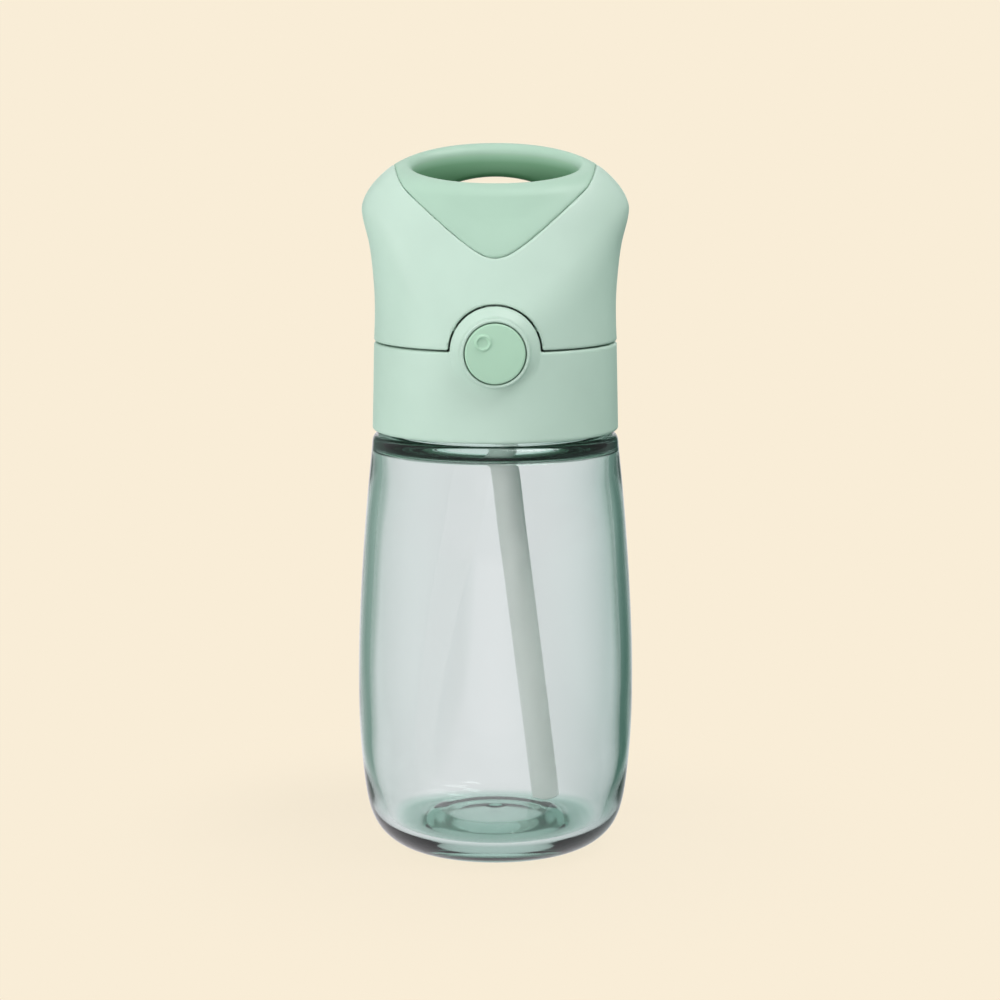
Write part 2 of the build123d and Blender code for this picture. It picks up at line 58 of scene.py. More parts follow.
def new_material(name):
    m = bpy.data.materials.new(name)
    m.use_nodes = True
    nt = m.node_tree
    nt.nodes.clear()
    out = nt.nodes.new("ShaderNodeOutputMaterial")
    bsdf = nt.nodes.new("ShaderNodeBsdfPrincipled")
    nt.links.new(bsdf.outputs["BSDF"], out.inputs["Surface"])
    return m, nt, bsdf, out


def srgb(r, g, b, a=1.0):
    f = lambda c: c / 12.92 if c <= 0.04045 else ((c + 0.055) / 1.055) ** 2.4
    return (f(r / 255), f(g / 255), f(b / 255), a)


def hole_shade_paint(nt, colour_in):
    """Painted shade inside the finger hole: the colour is multiplied darker and greener with depth below the rim."""
    co = nt.nodes.new("ShaderNodeTexCoord")
    sp = nt.nodes.new("ShaderNodeSeparateXYZ")
    nt.links.new(co.outputs["Object"], sp.inputs[0])

    def m(op, a, b=None, c=None):
        n = nt.nodes.new("ShaderNodeMath")
        n.operation = op
        for i, v in enumerate((a, b, c)):
            if v is None:
                continue
            if isinstance(v, (int, float)):
                n.inputs[i].default_value = v
            else:
                nt.links.new(v, n.inputs[i])
        return n.outputs[0]

    X, Y, Z = sp.outputs["X"], sp.outputs["Y"], sp.outputs["Z"]
    depth = m("SUBTRACT", m("MULTIPLY_ADD", Y, 0.3288, 0.1815), Z)
    ex = m("POWER", m("DIVIDE", X, 0.0225), 2.0)
    ey = m("POWER", m("DIVIDE", m("ADD", Y, 0.0022), 0.0135), 2.0)
    inside = nt.nodes.new("ShaderNodeMapRange")
    inside.inputs["From Min"].default_value = 1.16
    inside.inputs["From Max"].default_value = 1.0
    nt.links.new(m("ADD", ex, ey), inside.inputs["Value"])
    deep = nt.nodes.new("ShaderNodeMapRange")
    deep.inputs["From Min"].default_value = 0.0016
    deep.inputs["From Max"].default_value = 0.0075
    nt.links.new(depth, deep.inputs["Value"])
    shade_amount = m("MULTIPLY", inside.outputs["Result"], deep.outputs["Result"])
    shade_ramp = nt.nodes.new("ShaderNodeValToRGB")
    te = shade_ramp.color_ramp.elements
    te[0].position, te[0].color = 0.0, (1, 1, 1, 1)
    te[1].position, te[1].color = 1.0, (0.22, 0.37, 0.24, 1)
    te.new(0.16).color = (0.76, 0.88, 0.78, 1)
    te.new(0.45).color = (0.40, 0.58, 0.43, 1)
    nt.links.new(shade_amount, shade_ramp.inputs["Fac"])
    mul = nt.nodes.new("ShaderNodeMix")
    mul.data_type = "RGBA"
    mul.blend_type = "MULTIPLY"
    mul.inputs[0].default_value = 1.0
    nt.links.new(colour_in, mul.inputs[6])
    nt.links.new(shade_ramp.outputs["Color"], mul.inputs[7])
    return mul.outputs[2]


def moulded(name, rgb, rough=0.42, grain=1.0, mottle=0.03, sheen=0.0, coat=0.0, spec=0.45, sss=0.06,
             paint_hole_shade=False):
    """Satin injection-moulded plastic: fine spark texture, faint flow mottling, worn-smooth patches."""
    m, nt, b, out = new_material(name)
    co = nt.nodes.new("ShaderNodeTexCoord")
    # slow colour drift of the pigment
    drift = nt.nodes.new("ShaderNodeTexNoise")
    drift.inputs["Scale"].default_value = 38.0
    drift.inputs["Detail"].default_value = 3.0
    nt.links.new(co.outputs["Object"], drift.inputs["Vector"])
    ramp = nt.nodes.new("ShaderNodeValToRGB")
    c = srgb(*rgb)
    lo = tuple(x * (1 - mottle) for x in c[:3]) + (1,)
    hi = tuple(min(1, x * (1 + mottle)) for x in c[:3]) + (1,)
    ramp.color_ramp.elements[0].position = 0.35
    ramp.color_ramp.elements[0].color = lo
    ramp.color_ramp.elements[1].position = 0.65
    ramp.color_ramp.elements[1].color = hi
    nt.links.new(drift.outputs["Fac"], ramp.inputs["Fac"])
    # painted shade: the finger hole's inner wall is darkened and greened with depth below the rim
    col = hole_shade_paint(nt, ramp.outputs["Color"]) if paint_hole_shade else ramp.outputs["Color"]
    nt.links.new(col, b.inputs["Base Color"])
    # spark-eroded grain of the mould
    fine = nt.nodes.new("ShaderNodeTexNoise")
    fine.inputs["Scale"].default_value = 5200.0
    fine.inputs["Detail"].default_value = 2.0
    nt.links.new(co.outputs["Object"], fine.inputs["Vector"])
    soft = nt.nodes.new("ShaderNodeTexNoise")
    soft.inputs["Scale"].default_value = 420.0
    soft.inputs["Detail"].default_value = 4.0
    nt.links.new(co.outputs["Object"], soft.inputs["Vector"])
    bump = nt.nodes.new("ShaderNodeBump")
    bump.inputs["Strength"].default_value = 0.10 * grain
    bump.inputs["Distance"].default_value = 0.00006
    nt.links.new(fine.outputs["Fac"], bump.inputs["Height"])
    bump2 = nt.nodes.new("ShaderNodeBump")
    bump2.inputs["Strength"].default_value = 0.06 * grain
    bump2.inputs["Distance"].default_value = 0.00012
    nt.links.new(soft.outputs["Fac"], bump2.inputs["Height"])
    nt.links.new(bump.outputs["Normal"], bump2.inputs["Normal"])
    nt.links.new(bump2.outputs["Normal"], b.inputs["Normal"])
    rr = nt.nodes.new("ShaderNodeMapRange")
    rr.inputs["From Min"].default_value = 0.3
    rr.inputs["From Max"].default_value = 0.7
    rr.inputs["To Min"].default_value = rough - 0.05
    rr.inputs["To Max"].default_value = rough + 0.06
    nt.links.new(soft.outputs["Fac"], rr.inputs["Value"])
    nt.links.new(rr.outputs["Result"], b.inputs["Roughness"])
    b.inputs["IOR"].default_value = 1.49
    b.inputs["Specular IOR Level"].default_value = spec
    if sheen:
        b.inputs["Sheen Weight"].default_value = sheen
    if sss:
        b.inputs["Subsurface Weight"].default_value = sss
        b.inputs["Subsurface Radius"].default_value = (0.9, 1.0, 0.85)
        b.inputs["Subsurface Scale"].default_value = 0.0012
    if coat:
        b.inputs["Coat Weight"].default_value = coat
    return m


def clear_vessel():
    """Clear copolyester: colourless to the eye where thin, green where light runs through its thickness."""
    m, nt, b, out = new_material("vessel_clear")
    # thick rings, at the foot and the shoulder, are seen through more plastic and look greener
    zco = nt.nodes.new("ShaderNodeTexCoord")
    zsep = nt.nodes.new("ShaderNodeSeparateXYZ")
    nt.links.new(zco.outputs["Object"], zsep.inputs[0])
    zmap = nt.nodes.new("ShaderNodeMapRange")
    zmap.inputs["From Min"].default_value = 0.0
    zmap.inputs["From Max"].default_value = 0.125


    def vm(op, a, b=None, c=None):
        n = nt.nodes.new("ShaderNodeMath")
        n.operation = op
        for i, v in enumerate((a, b, c)):
            if isinstance(v, float):
                n.inputs[i].default_value = v
            elif v is not None:
                nt.links.new(v, n.inputs[i])
        return n.outputs[0]

    rad = vm("SQRT", vm("ADD", vm("POWER", zsep.outputs["X"], 2.0), vm("POWER", zsep.outputs["Y"], 2.0)))
    past = vm("MINIMUM", vm("MAXIMUM", vm("SUBTRACT", rad, 0.021), 0.0), 0.012)
    low = nt.nodes.new("ShaderNodeMapRange")
    low.inputs["From Min"].default_value = 0.015
    low.inputs["From Max"].default_value = 0.03
    low.inputs["To Min"].default_value = 0.9
    low.inputs["To Max"].default_value = 0.0
    nt.links.new(zsep.outputs["Z"], low.inputs["Value"])
    nt.links.new(vm("MULTIPLY_ADD", past, low.outputs["Result"], zsep.outputs["Z"]), zmap.inputs["Value"])
    tint = nt.nodes.new("ShaderNodeValToRGB")
    te = tint.color_ramp.elements
    te[0].position, te[0].color = 0.0, (0.30, 0.46, 0.40, 1)
    te[1].position, te[1].color = 1.0, (0.93, 0.97, 0.96, 1)
    for pos, col in ((0.05, (0.36, 0.54, 0.47, 1)), (0.072, (0.66, 0.80, 0.75, 1)), (0.105, (0.978, 0.982, 0.98, 1)),
                     (0.845, (0.978, 0.982, 0.98, 1)),
                     (0.862, (0.88, 0.97, 0.93, 1)), (0.885, (0.82, 0.95, 0.90, 1)), (0.90, (0.93, 0.97, 0.96, 1))):
        te.new(pos).color = col
    nt.links.new(zmap.outputs["Result"], tint.inputs["Fac"])
    nt.links.new(tint.outputs["Color"], b.inputs["Base Color"])
    b.inputs["Transmission Weight"].default_value = 1.0
    b.inputs["IOR"].default_value = 1.5
    co = nt.nodes.new("ShaderNodeTexCoord")
    n = nt.nodes.new("ShaderNodeTexNoise")
    n.inputs["Scale"].default_value = 60.0
    n.inputs["Detail"].default_value = 5.0
    nt.links.new(co.outputs["Object"], n.inputs["Vector"])
    rr = nt.nodes.new("ShaderNodeMapRange")
    rr.inputs["From Min"].default_value = 0.35
    rr.inputs["From Max"].default_value = 0.75
    rr.inputs["To Min"].default_value = 0.02
    rr.inputs["To Max"].default_value = 0.06
    nt.links.new(n.outputs["Fac"], rr.inputs["Value"])
    nt.links.new(rr.outputs["Result"], b.inputs["Roughness"])
    va = nt.nodes.new("ShaderNodeVolumeAbsorption")
    va.inputs["Color"].default_value = (0.28, 0.68, 0.56, 1)
    va.inputs["Density"].default_value = 32.0
    nt.links.new(va.outputs["Volume"], out.inputs["Volume"])
    return m


def silicone(name, rgb, trans=0.35, rough=0.38):
    m, nt, b, out = new_material(name)
    co = nt.nodes.new("ShaderNodeTexCoord")
    n = nt.nodes.new("ShaderNodeTexNoise")
    n.inputs["Scale"].default_value = 110.0
    n.inputs["Detail"].default_value = 4.0
    nt.links.new(co.outputs["Object"], n.inputs["Vector"])
    ramp = nt.nodes.new("ShaderNodeValToRGB")
    c = srgb(*rgb)
    ramp.color_ramp.elements[0].position = 0.3
    ramp.color_ramp.elements[0].color = tuple(x * 0.95 for x in c[:3]) + (1,)
    ramp.color_ramp.elements[1].position = 0.7
    ramp.color_ramp.elements[1].color = c
    nt.links.new(n.outputs["Fac"], ramp.inputs["Fac"])
    nt.links.new(ramp.outputs["Color"], b.inputs["Base Color"])
    b.inputs["Transmission Weight"].default_value = trans
    b.inputs["IOR"].default_value = 1.41
    b.inputs["Roughness"].default_value = rough
    b.inputs["Subsurface Weight"].default_value = 0.25
    b.inputs["Subsurface Radius"].default_value = (1, 1, 1)
    b.inputs["Subsurface Scale"].default_value = 0.002
    bump = nt.nodes.new("ShaderNodeBump")
    bump.inputs["Strength"].default_value = 0.12
    bump.inputs["Distance"].default_value = 0.0001
    fine = nt.nodes.new("ShaderNodeTexNoise")
    fine.inputs["Scale"].default_value = 1500.0
    nt.links.new(co.outputs["Object"], fine.inputs["Vector"])
    nt.links.new(fine.outputs["Fac"], bump.inputs["Height"])
    nt.links.new(bump.outputs["Normal"], b.inputs["Normal"])
    return m


def wire_steel():
    m, nt, b, out = new_material("steel_wire")
    co = nt.nodes.new("ShaderNodeTexCoord")
    mp = nt.nodes.new("ShaderNodeMapping")
    mp.inputs["Scale"].default_value = (1, 12, 12)
    nt.links.new(co.outputs["Object"], mp.inputs["Vector"])
    n = nt.nodes.new("ShaderNodeTexNoise")
    n.inputs["Scale"].default_value = 300.0
    n.inputs["Detail"].default_value = 4.0
    nt.links.new(mp.outputs["Vector"], n.inputs["Vector"])
    ramp = nt.nodes.new("ShaderNodeValToRGB")
    ramp.color_ramp.elements[0].color = (0.42, 0.42, 0.41, 1)
    ramp.color_ramp.elements[1].color = (0.66, 0.66, 0.65, 1)
    nt.links.new(n.outputs["Fac"], ramp.inputs["Fac"])
    nt.links.new(ramp.outputs["Color"], b.inputs["Base Color"])
    b.inputs["Metallic"].default_value = 1.0
    rr = nt.nodes.new("ShaderNodeMapRange")
    rr.inputs["To Min"].default_value = 0.2
    rr.inputs["To Max"].default_value = 0.38
    nt.links.new(n.outputs["Fac"], rr.inputs["Value"])
    nt.links.new(rr.outputs["Result"], b.inputs["Roughness"])
    return m


SHELL = (191, 213, 199)
ACCENT = (171, 200, 181)
MAT = {
    "shell_mint": moulded("shell_mint", SHELL, rough=0.42),
    # the loop piece gets painted shade inside its finger hole
    "accent_mint": moulded("accent_mint", ACCENT, rough=0.44, sss=0.03, paint_hole_shade=True),
    "liner_mint": moulded("liner_mint", SHELL, rough=0.5),
    "core_mint": moulded("core_mint", (184, 212, 195), rough=0.46),
    "vessel": clear_vessel(),
    "silicone": silicone("silicone_soft", (205, 214, 208), trans=0.25),
    "steel": wire_steel(),
}
button_mat = moulded("accent_button", (174, 209, 184), rough=0.44, sss=0.03)
straw_mat = silicone("silicone_straw", (231, 231, 228), trans=0.12, rough=0.34)

SLOT_OF = {s["node"]: s["material_slot"] for s in frame["record"]["subparts"]}
for name, o in NODES.items():
    mat = MAT[SLOT_OF[name]]
    if name == "straw":
        mat = straw_mat
    o.data.materials.clear()
    o.data.materials.append(mat)

# ------------------------------------------------------------------ shape tools (millimetres)
def spline(xs, ys):
    """Natural cubic spline through a short table, as a function of an array."""
    x, y = np.asarray(xs, float), np.asarray(ys, float)
    n = len(x)
    h = np.diff(x)
    A = np.zeros((n, n))
    r = np.zeros(n)
    A[0, 0] = A[-1, -1] = 1
    for i in range(1, n - 1):
        A[i, i - 1], A[i, i], A[i, i + 1] = h[i - 1], 2 * (h[i - 1] + h[i]), h[i]
        r[i] = 6 * ((y[i + 1] - y[i]) / h[i] - (y[i] - y[i - 1]) / h[i - 1])
    m = np.linalg.solve(A, r)

    def f(t):
        t = np.clip(t, x[0], x[-1])
        k = np.clip(np.searchsorted(x, t) - 1, 0, n - 2)
        d, hk = t - x[k], h[k]
        b = (y[k + 1] - y[k]) / hk - hk * (2 * m[k] + m[k + 1]) / 6
        return y[k] + d * (b + d * (m[k] / 2 + d * (m[k + 1] - m[k]) / (6 * hk)))
    return f


def both(a, b, r=0.0):
    """Solid common to a and b, its new edge rounded to radius r."""
    if r <= 0:
        return np.maximum(a, b)
    u, v = np.maximum(a + r, 0), np.maximum(b + r, 0)
    return np.minimum(np.maximum(a, b), -r) + np.sqrt(u * u + v * v)


def either(a, b, r=0.0):
    return -both(-a, -b, r)


def less(a, b, r=0.0):
    return both(a, -b, r)


def blend_in(a, b, k):
    h = np.clip(0.5 - 0.5 * (b - a) / k, 0, 1)
    return b * (1 - h) + a * h + k * h * (1 - h)


def join_soft(a, b, k):
    return -blend_in(-a, -b, k)


def boxed(p, lo, hi, r=0.0):
    d = [np.maximum(l - c, c - u) for c, l, u in zip(p, lo, hi) if l is not None]
    out = d[0]
    for e in d[1:]:
        out = both(out, e, r)
    return out


def poly(u, v, pts):
    """Signed distance to a closed polygon in a plane."""
    pts = np.asarray(pts, float)
    d = np.full(u.shape, 1e9)
    s = np.ones(u.shape)
    n = len(pts)
    for i in range(n):
        a, b = pts[i], pts[i - 1]
        ex, ey = b[0] - a[0], b[1] - a[1]
        wx, wy = u - a[0], v - a[1]
        t = np.clip((wx * ex + wy * ey) / (ex * ex + ey * ey), 0, 1)
        bx, by = wx - ex * t, wy - ey * t
        d = np.minimum(d, bx * bx + by * by)
        c1, c2, c3 = v >= a[1], v < b[1], ex * wy > ey * wx
        flip = (c1 & c2 & c3) | (~c1 & ~c2 & ~c3)
        s = np.where(flip, -s, s)
    return s * np.sqrt(d)


def mesh_of(name, f, lo, hi, h, steps=3):
    """Closed mesh of the surface f = 0 on a grid of pitch h, pulled onto the exact surface."""
    ax = [np.arange(l - 1.5 * h, u + 2.5 * h, h) for l, u in zip(lo, hi)]
    G = np.empty(tuple(len(a) for a in ax), np.float32)
    X, Y = np.meshgrid(ax[0], ax[1], indexing="ij")
    for k in range(0, len(ax[2]), 12):
        z = ax[2][k:k + 12]
        G[:, :, k:k + 12] = f(X[:, :, None] + 0 * z, Y[:, :, None] + 0 * z, z + 0 * X[:, :, None])
    S = G < 0
    nx, ny, nz = (n - 1 for n in G.shape)
    cnt = np.zeros((nx, ny, nz), np.int8)
    for i in (0, 1):
        for j in (0, 1):
            for k in (0, 1):
                cnt += S[i:i + nx, j:j + ny, k:k + nz]
    act = (cnt > 0) & (cnt < 8)
    idx = np.full(act.shape, -1, np.int64)
    cells = np.argwhere(act)
    idx[act] = np.arange(len(cells))
    acc = np.zeros((len(cells), 3))
    num = np.zeros(len(cells))
    ci, cj, ck = cells.T
    corner = [(0, 0, 0), (1, 0, 0), (0, 1, 0), (1, 1, 0), (0, 0, 1), (1, 0, 1), (0, 1, 1), (1, 1, 1)]
    edges = [(a, b) for a in range(8) for b in range(a + 1, 8)
             if sum(abs(p - q) for p, q in zip(corner[a], corner[b])) == 1]
    val = [G[ci + c[0], cj + c[1], ck + c[2]].astype(float) for c in corner]
    for a, b in edges:
        va, vb = val[a], val[b]
        m = (va < 0) != (vb < 0)
        t = np.where(m, va / np.where(m, va - vb, 1), 0)
        for d in range(3):
            acc[:, d] += m * (corner[a][d] + t * (corner[b][d] - corner[a][d]))
        num += m
    P = (cells + acc / num[:, None]) * h + np.array([a[0] for a in ax])
    quads = []
    for d in range(3):
        sl0 = [slice(1, -1)] * 3
        sl1 = [slice(1, -1)] * 3
        sl0[d], sl1[d] = slice(0, -1), slice(1, None)
        a, b = S[tuple(sl0)], S[tuple(sl1)]
        cross = np.argwhere(a != b)
        if not len(cross):
            continue
        inside = a[tuple(cross.T)]
        base = cross + 1
        base[:, d] -= 1
        e1, e2 = [(1, 2), (2, 0), (0, 1)][d]
        v = []
        for s1, s2 in ((0, 0), (1, 0), (1, 1), (0, 1)):
            c = base.copy()
            c[:, e1] -= 1 - s1
            c[:, e2] -= 1 - s2
            v.append(idx[tuple(c.T)])
        q = np.stack(v, 1)
        q[~inside] = q[~inside][:, ::-1]
        quads.append(q)
    Q = np.vstack(quads)
    Q = Q[(Q >= 0).all(1)]
    for _ in range(steps):
        e = 0.02
        x, y, z = P.T
        v = f(x, y, z)
        g = np.stack([f(x + e, y, z) - f(x - e, y, z), f(x, y + e, z) - f(x, y - e, z),
                      f(x, y, z + e) - f(x, y, z - e)], 1) / (2 * e)
        step = -v[:, None] * g / np.maximum((g * g).sum(1), 0.05)[:, None]
        ln = np.linalg.norm(step, axis=1)
        step *= np.minimum(1, 0.35 * h / np.maximum(ln, 1e-9))[:, None]
        P = P + step
    me = bpy.data.meshes.new(name)
    me.vertices.add(len(P))
    me.vertices.foreach_set("co", (P * 0.001).astype(np.float32).ravel())
    me.loops.add(len(Q) * 4)
    me.loops.foreach_set("vertex_index", Q.astype(np.int32).ravel())
    me.polygons.add(len(Q))
    me.polygons.foreach_set("loop_start", np.arange(0, len(Q) * 4, 4, dtype=np.int32))
    me.polygons.foreach_set("loop_total", np.full(len(Q), 4, np.int32))
    me.update(calc_edges=True)
    me.validate()
    me.polygons.foreach_set("use_smooth", np.ones(len(me.polygons), bool))
    o = bpy.data.objects.new(name, me)
    bpy.context.scene.collection.objects.link(o)
    return o


def lathe(name, prof, seg=192, axis="z", centre=(0, 0, 0), smooth_angle=35, bump=None):
    """Closed surface of revolution; prof is a list of (radius, height), first and last on the axis or equal."""
    prof = np.asarray(prof, float)
    closed_ring = prof[0, 0] > 1e-6
    rows = len(prof) - 1 if closed_ring else len(prof)
    verts, faces = [], []
    ring = []
    t = np.arange(seg) * 2 * np.pi / seg
    for i in range(rows):
        r, z = prof[i]
        if r < 1e-6:
            ring.append([len(verts)])
            verts.append((0, 0, z))
        else:
            rr = np.full(seg, r) if bump is None else r + bump(i, r, z, t)
            ring.append(list(range(len(verts), len(verts) + seg)))
            verts.extend(zip(rr * np.cos(t), rr * np.sin(t), np.full(seg, z)))
    pairs = [(i, i + 1) for i in range(rows - 1)] + ([(rows - 1, 0)] if closed_ring else [])
    for a, b in pairs:
        ra, rb = ring[a], ring[b]
        for j in range(seg):
            k = (j + 1) % seg
            if len(ra) == 1 and len(rb) == 1:
                continue
            if len(ra) == 1:
                faces.append((ra[0], rb[k], rb[j]))
            elif len(rb) == 1:
                faces.append((ra[j], ra[k], rb[0]))
            else:
                faces.append((ra[j], ra[k], rb[k], rb[j]))
    V = np.array(verts)
    if axis == "y":
        V = V[:, [0, 2, 1]] * np.array([1, 1, -1])
    V = (V + np.array(centre)) * 0.001
    me = bpy.data.meshes.new(name)
    me.from_pydata(V.tolist(), [], faces)
    me.update()
    bm = bmesh.new()
    bm.from_mesh(me)
    bmesh.ops.recalc_face_normals(bm, faces=bm.faces)
    bm.to_mesh(me)
    bm.free()
    me.polygons.foreach_set("use_smooth", np.ones(len(me.polygons), bool))
    try:
        me.set_sharp_from_angle(angle=math.radians(smooth_angle))
    except Exception:
        pass
    o = bpy.data.objects.new(name, me)
    bpy.context.scene.collection.objects.link(o)
    return o


def finish_piece(o, body, node, mat):
    o.data.materials.append(mat)
    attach(o, body)
    if node:
        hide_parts(node)
    return o


H = 0.5

# ------------------------------------------------------------------ cap and loop
W_A = spline([128, 135, 138.5, 142.5, 147, 152.5, 158, 161.4, 164.5, 168, 171, 176, 190],
             [31.95, 31.78, 31.62, 31.52, 31.58, 31.95, 32.55, 33.15, 34.0, 35.3, 36.8, 39.5, 48])
D_A = spline([128, 135, 138.5, 142.5, 150, 160, 190], [31.95, 31.75, 31.6, 31.45, 31.3, 31.2, 31.2])
W_B = spline([128, 143, 147, 152.5, 158, 163, 168, 170.7, 173.9, 177, 180.1, 183, 187, 190],
             [41.6, 38.0, 37.2, 36.35, 35.75, 35.4, 35.0, 34.5, 33.0, 30.5, 27.0, 23.2, 18.0, 14.0])
D_B = spline([128, 139, 143, 147, 152.5, 158, 163, 167.5, 171.5, 175.5, 179.5, 183, 187, 190],
             [37, 32.3, 30.75, 29.25, 27.25, 25.2, 23.3, 21.6, 20.0, 18.5, 17.0, 15.8, 14.2, 13.0])
N_B = spline([128, 147, 163, 171, 180, 190], [2.2, 2.2, 2.28, 2.3, 2.22, 2.1])


def oval(x, y, a, b, n):
    X, Y = np.abs(x) / a + 1e-9, np.abs(y) / b + 1e-9
    g = (X ** n + Y ** n) ** (1 / n)
    gx = (X / g) ** (n - 1) / a
    gy = (Y / g) ** (n - 1) / b
    return (g - 1) / np.sqrt(gx * gx + gy * gy)


def head(x, y, z):
    a = oval(x, y, W_A(z), D_A(z), 2.0)
    b = oval(x, y, W_B(z), D_B(z), N_B(z))
    return blend_in(a, b, 1.9)


RING_T = math.tan(math.radians(18.2))
RAMP_T = math.tan(math.radians(18.7))


def rim(y, z):
    return (z - 181.5 - RING_T * y) * math.cos(math.radians(18.2))


def finger_hole(x, y, z, grow=0.0):
    ramp = (175.6 - grow * 1.05 - RAMP_T * (y + 14.8) - z) * math.cos(math.radians(18.7))
    top = oval(x, y + 2.2, 21.6 + grow, 12.6 + grow, 2.0)
    win = both(np.abs(x) - 20.5 - grow, np.sqrt(x * x + (z - 141.9) ** 2) - 35.0 - grow, 3.0)
    win = both(win, -4 - y)
    return both(either(top, win, 1.2), ramp, 0.8)


def loop_region(x, y, z, grow=0.0):
    v = np.sqrt(x * x + 34.0) * math.sin(math.radians(43.1)) - (z - 152.3 + grow * 1.4) * math.cos(math.radians(43.1))
    side = np.abs(x) - 26.4 - grow
    front = both(v, side, 4.0)
    back = both(161.0 - grow - z, side, 6.0)
    return np.where(y < 0, front, back)


def cap_block(x, y, z, dish=None):
    e = head(x, y, z)
    if dish is not None:
        e = e + dish
    solid = both(e, rim(y, z), 2.3)
    solid = less(solid, finger_hole(x, y, z), 1.7)
    room = np.maximum(np.maximum(head(x, y, z) + 2.2, 2.2 - finger_hole(x, y, z)), z - 175.5)
    return less(solid, room)


def loop_solid(x, y, z):
    r = loop_region(x, y, z)
    t = np.clip((-r - 0.9) / 5.2, 0, 1)
    dish = 0.55 * t * t * (3 - 2 * t) * (y < 0) * np.clip((181.5 + RING_T * y - z) / 7.0, 0, 1)
    return both(cap_block(x, y, z, dish), np.minimum(r, finger_hole(x, y, z) - 2.2), 0.32)


HY, HZ = 33.4, 136.2
KNUCKLE = [(29.7, 136.0), (HY, HZ - 2.6), (HY + 2.7, HZ + 1.0), (30.4, 147.0), (29.0, 147.0)]


def shell_solid(x, y, z):
    s = less(cap_block(x, y, z), np.minimum(loop_region(x, y, z), finger_hole(x, y, z) - 2.2) - 0.05, 0.22)
    s = both(s, 134.98 - z, 0.3)
    arch = np.maximum(np.sqrt(x * x + (z - 134.6) ** 2) - 11.9, y + 15)
    s = less(s, arch, 0.25)
    ax = np.abs(x)
    ears = np.maximum(np.abs(ax - 12.35) - 2.65,
                      np.minimum(np.sqrt((y - HY) ** 2 + (z - HZ) ** 2) - 3.4,
                                 np.maximum(np.abs(y - 31) - 4, np.abs(z - 134) - 2.6)))
    s = less(s, ears, 0.2)
    k = np.minimum(np.sqrt((y - HY) ** 2 + (z - HZ) ** 2) - 2.9, poly(y, z, KNUCKLE))
    k = both(k, ax - 9.75, 0.4)
    s = either(s, k, 0.5)
    pocket = np.maximum(ax - 4.8, poly(y, z, [(30.7, 130), (40, 130), (40, 147.5), (30.7, 144.6)]))
    s = less(s, pocket, 0.3)
    return less(s, np.sqrt((y - HY) ** 2 + (z - HZ) ** 2) - 1.06)


cap_shell = mesh_of("cap_shell_moulded", shell_solid, (-35, -32, 132.8), (35, 37, 183), H)
finish_piece(cap_shell, "cap", "cap_shell", MAT["shell_mint"])
handle = mesh_of("handle_loop_moulded", loop_solid, (-27, -29, 155), (27, 27, 188), H)
finish_piece(handle, "cap", "handle_loop", MAT["accent_mint"])

# ------------------------------------------------------------------ lid collar
COLLAR = [(30.05, 111.55), (31.85, 111.55), (32.3, 112.0), (31.78, 134.1), (31.4, 134.5), (28.3, 134.5),
          (28.3, 130.3), (30.05, 130.3)]
RIMP = [(28.3, 136.2), (27.1, 136.2), (27.1, 130.3), (28.3, 130.3)]
BOSS = [(0, -28.4), (0, -34.95), (8.35, -34.95), (8.62, -34.8), (8.78, -34.5), (8.85, -32.6), (9.1, -31.9),
        (9.8, -31.3), (11.0, -30.2), (11.0, -28.4)]


def collar_solid(x, y, z):
    r = np.sqrt(x * x + y * y)
    ax = np.abs(x)
    ring = poly(r, z, COLLAR) + 0.0
    lip = np.maximum(poly(r, z, RIMP), np.where(z > 134.6, 13.5 - ax, -1e3))
    s = np.minimum(ring, lip)
    rho = np.sqrt(x * x + (z - 134.6) ** 2)
    up = both(head(x, y, z + 0.32), rho - 11.42, 0.3)
    up = np.maximum(up, y + 28.4)
    s = np.minimum(s, up)
    s = join_soft(s, poly(rho, y, BOSS), 0.55)
    s = less(s, np.maximum(r - 30.0, z - 130.3))
    s = less(s, np.maximum(rho - 7.85, y + 20), 0.25)
    s = less(s, np.maximum(np.maximum(ax - 10.7, np.abs(y + 23.2) - 5.2), 130.25 - z))
    ear = poly(y, z, [(30.4, 124.0), (31.7, 124.0), (HY + 2.6, HZ - 1.3), (HY, HZ + 1.5), (30.4, 134.4)])
    ear = np.minimum(ear, np.sqrt((y - HY) ** 2 + (z - HZ) ** 2) - 2.9)
    ear = both(ear, ax - 14.6, 0.5)
    s = join_soft(s, ear, 0.6)
    gap = np.minimum(np.sqrt((y - HY) ** 2 + (z - HZ) ** 2) - 3.3,
                     poly(y, z, [(HY - 3.3, HZ), (HY + 6, HZ), (HY + 6, 123), (32.1, 123), (32.1, 131.6),
                                 (HY - 2.2, 133.7)]))
    s = less(s, np.maximum(gap, ax - 10.1), 0.3)
    slot = np.maximum(np.maximum(ax - 4.8, np.abs(y - 32.6) - 2.3), np.abs(z - 131.5) - 4.5)
    s = less(s, slot, 0.3)
    return less(s, np.sqrt((y - HY) ** 2 + (z - HZ) ** 2) - 1.02)


collar = mesh_of("lid_collar_moulded", collar_solid, (-33, -36, 110.5), (33, 37, 147), H)
finish_piece(collar, "lid", "lid_collar", MAT["shell_mint"])


